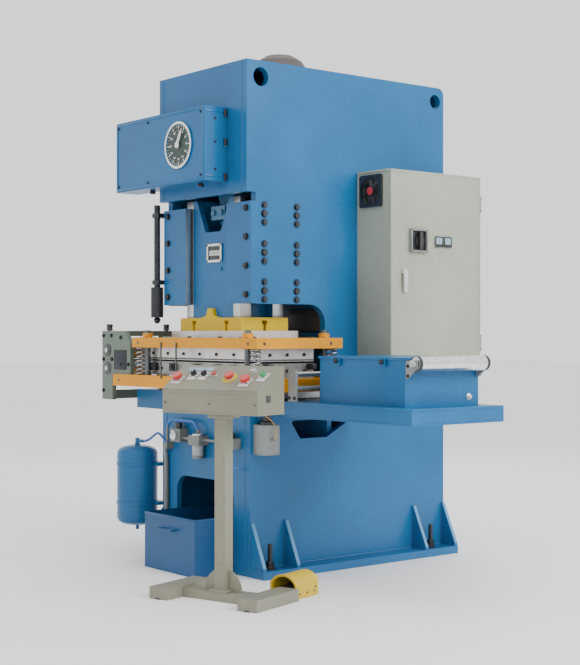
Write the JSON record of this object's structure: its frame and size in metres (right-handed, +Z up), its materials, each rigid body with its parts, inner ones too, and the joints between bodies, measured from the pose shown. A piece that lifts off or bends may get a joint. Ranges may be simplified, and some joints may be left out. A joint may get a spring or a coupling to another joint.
{
  "type": "mechanical stamping press",
  "caption": "C-frame stamping press with die set, sheet feed rolls, control cabinet, cover box with angle dial, scrap bin and two-hand console on a stand.",
  "frame": {"origin": "on the floor below the front face of the crown, midway between the side plates", "axes": "+X to the right seen from the front, +Y to the back, +Z up"},
  "size_m": [2.375, 2.082, 2.74],
  "materials": {
    "feet": "satin",
    "side_plate_right": "satin",
    "side_plate_left": "satin",
    "crown": "satin",
    "inner_walls": "satin",
    "bed": "satin",
    "bolster": "satin",
    "rear_guard": "satin",
    "guide_gibs": "satin",
    "gib_cover_plates": "satin",
    "fasteners": "satin",
    "cover_box": "satin",
    "crown_dome": "satin",
    "crank_bearings": "satin",
    "crankshaft": "satin",
    "dial_pointer": "satin",
    "connecting_rod": "satin",
    "slide": "satin",
    "slide_plate": "satin",
    "pressure_plate": "satin",
    "upper_die_shoe": "satin",
    "lower_die_shoe": "satin",
    "guide_posts": "satin",
    "die_springs": "satin",
    "upper_die_block": "satin",
    "lower_die_block": "satin",
    "flywheel": "satin",
    "motor": "satin",
    "motor_pulley": "satin",
    "drive_belts": "satin",
    "shelves": "satin",
    "roller_stands": "satin",
    "entry_roller": "satin",
    "guide_roller": "satin",
    "oil_box": "satin",
    "oil_box_lid": "satin",
    "feed_roll_frame": "satin",
    "lower_feed_roll": "satin",
    "upper_feed_roll": "satin",
    "cabinet_body": "satin",
    "cabinet_door": "satin",
    "isolator_handle": "satin",
    "cabinet_latch": "satin",
    "fan_frame": "satin",
    "fan_rotor": "satin",
    "scrap_bin": "satin",
    "air_tank": "satin",
    "air_service_unit": "satin",
    "regulator_knob": "satin",
    "lubricator": "satin",
    "swing_post": "satin",
    "console": "satin",
    "palm_button_left": "satin",
    "palm_button_right": "satin",
    "emergency_stop": "satin",
    "start_button": "satin",
    "selector_left": "satin",
    "selector_right": "satin",
    "foot_switch": "satin",
    "foot_pedal": "satin"
  },
  "bodies": {
    "frame": {"feet": "feet", "side_plate_right": "side_plate_right", "side_plate_left": "side_plate_left", "crown": "crown", "inner_walls": "inner_walls", "bed": "bed", "bolster": "bolster", "rear_guard": "rear_guard", "guide_gibs": "guide_gibs", "gib_cover_plates": "gib_cover_plates", "fasteners": "fasteners", "cover_box": "cover_box", "crown_dome": "crown_dome", "crank_bearings": "crank_bearings", "lower_die_shoe": "lower_die_shoe", "guide_posts": "guide_posts", "die_springs": "die_springs", "lower_die_block": "lower_die_block", "motor": "motor", "drive_belts": "drive_belts", "shelves": "shelves", "roller_stands": "roller_stands", "oil_box": "oil_box", "feed_roll_frame": "feed_roll_frame", "cabinet_body": "cabinet_body", "fan_frame": "fan_frame", "air_tank": "air_tank", "air_service_unit": "air_service_unit", "lubricator": "lubricator", "swing_post": "swing_post", "console": "console", "foot_switch": "foot_switch"},
    "ram": {"slide": "slide", "slide_plate": "slide_plate", "pressure_plate": "pressure_plate", "upper_die_shoe": "upper_die_shoe", "upper_die_block": "upper_die_block", "connecting_rod": "connecting_rod"},
    "crank": {"crankshaft": "crankshaft", "dial_pointer": "dial_pointer"},
    "flywheel": {"flywheel": "flywheel"},
    "motor_pulley": {"motor_pulley": "motor_pulley"},
    "lower_roll": {"lower_feed_roll": "lower_feed_roll"},
    "upper_roll": {"upper_feed_roll": "upper_feed_roll"},
    "guide_roller": {"guide_roller": "guide_roller"},
    "entry_roller": {"entry_roller": "entry_roller"},
    "oil_lid": {"oil_box_lid": "oil_box_lid"},
    "cabinet_door": {"cabinet_door": "cabinet_door"},
    "isolator": {"isolator_handle": "isolator_handle"},
    "latch": {"cabinet_latch": "cabinet_latch"},
    "fan": {"fan_rotor": "fan_rotor"},
    "bin": {"scrap_bin": "scrap_bin"},
    "regulator": {"regulator_knob": "regulator_knob"},
    "palm_left": {"palm_button_left": "palm_button_left"},
    "palm_right": {"palm_button_right": "palm_button_right"},
    "stop": {"emergency_stop": "emergency_stop"},
    "start": {"start_button": "start_button"},
    "selector_left": {"selector_left": "selector_left"},
    "selector_right": {"selector_right": "selector_right"},
    "pedal": {"foot_pedal": "foot_pedal"}
  },
  "joints": [
    {"name": "ram_slide", "type": "slide", "parent": "frame", "child": "ram", "axis": [0, 0, 1], "range_m": [0, 0.06], "deforming": ["die_springs"]},
    {"name": "crank_turn", "type": "hinge", "parent": "frame", "child": "crank", "pos_m": [0, 0.3, 2.195], "axis": [0, 1, 0], "range_deg": [0, 180]},
    {"name": "flywheel_spin", "type": "hinge", "parent": "frame", "child": "flywheel", "pos_m": [0, 1.16, 2.195], "axis": [0, 1, 0], "continuous": true},
    {"name": "motor_pulley_spin", "type": "hinge", "parent": "frame", "child": "motor_pulley", "pos_m": [0, 1.16, 1.475], "axis": [0, 1, 0], "continuous": true},
    {"name": "lower_roll_spin", "type": "hinge", "parent": "frame", "child": "lower_roll", "pos_m": [-0.84, 0.145, 1.026], "axis": [0, 1, 0], "continuous": true},
    {"name": "upper_roll_spin", "type": "hinge", "parent": "frame", "child": "upper_roll", "pos_m": [-0.84, 0.145, 1.128], "axis": [0, 1, 0], "continuous": true},
    {"name": "guide_roller_spin", "type": "hinge", "parent": "frame", "child": "guide_roller", "pos_m": [1.4, 0.425, 1.085], "axis": [0, 1, 0], "continuous": true},
    {"name": "entry_roller_spin", "type": "hinge", "parent": "frame", "child": "entry_roller", "pos_m": [0.625, 0.2435, 1.022], "axis": [0, 1, 0], "continuous": true},
    {"name": "oil_lid_hinge", "type": "hinge", "parent": "frame", "child": "oil_lid", "pos_m": [1.0455, 0.672, 1.103], "axis": [-1, 0, 0], "range_deg": [0, 100]},
    {"name": "cabinet_door_hinge", "type": "hinge", "parent": "frame", "child": "cabinet_door", "pos_m": [0.65, 1.417, 1.55], "axis": [0, 0, 1], "range_deg": [0, 110]},
    {"name": "isolator_turn", "type": "hinge", "parent": "cabinet_door", "child": "isolator", "pos_m": [0.655, 0.93, 1.712], "axis": [1, 0, 0], "range_deg": [0, 90]},
    {"name": "latch_turn", "type": "hinge", "parent": "cabinet_door", "child": "latch", "pos_m": [0.655, 0.83, 1.545], "axis": [1, 0, 0], "range_deg": [0, 90]},
    {"name": "fan_spin", "type": "hinge", "parent": "frame", "child": "fan", "pos_m": [0.511, 0.741, 1.973], "axis": [0, 1, 0], "continuous": true},
    {"name": "bin_slide", "type": "slide", "parent": "frame", "child": "bin", "axis": [0, -1, 0], "range_m": [0, 0.5]},
    {"name": "regulator_turn", "type": "hinge", "parent": "frame", "child": "regulator", "pos_m": [-0.195, -0.012, 0.73], "axis": [0, 0, 1], "range_deg": [-170, 170]},
    {"name": "pedal_press", "type": "hinge", "parent": "frame", "child": "pedal", "pos_m": [0.87566, -0.02878, 0.04], "axis": [0.9563, 0.2924, 0], "range_deg": [0, 8], "stiffness_Nm_per_rad": 4, "springref_deg": -28.65},
    {"name": "palm_left_press", "type": "slide", "parent": "frame", "child": "palm_left", "axis": [-0.1559, 0.5099, -0.846], "range_m": [0, 0.006], "stiffness_N_per_m": 400, "springref_m": -0.003},
    {"name": "palm_right_press", "type": "slide", "parent": "frame", "child": "palm_right", "axis": [-0.1559, 0.5099, -0.846], "range_m": [0, 0.006], "stiffness_N_per_m": 400, "springref_m": -0.003},
    {"name": "stop_press", "type": "slide", "parent": "frame", "child": "stop", "axis": [-0.1559, 0.5099, -0.846], "range_m": [0, 0.006], "stiffness_N_per_m": 400, "springref_m": -0.003},
    {"name": "start_press", "type": "slide", "parent": "frame", "child": "start", "axis": [-0.1559, 0.5099, -0.846], "range_m": [0, 0.006], "stiffness_N_per_m": 400, "springref_m": -0.003},
    {"name": "selector_left_turn", "type": "hinge", "parent": "frame", "child": "selector_left", "pos_m": [0.61932, -0.47294, 1.03], "axis": [0.1559, -0.5099, 0.846], "range_deg": [-45, 45]},
    {"name": "selector_right_turn", "type": "hinge", "parent": "frame", "child": "selector_right", "pos_m": [0.6767, -0.4554, 1.03], "axis": [0.1559, -0.5099, 0.846], "range_deg": [-45, 45]}
  ],
  "couplings": [
    {"joint": "crank_turn", "follows": "ram_slide", "rad_per_m": 52.35},
    {"joint": "motor_pulley_spin", "follows": "flywheel_spin", "ratio": 3.875},
    {"joint": "upper_roll_spin", "follows": "lower_roll_spin", "ratio": -1}
  ]
}
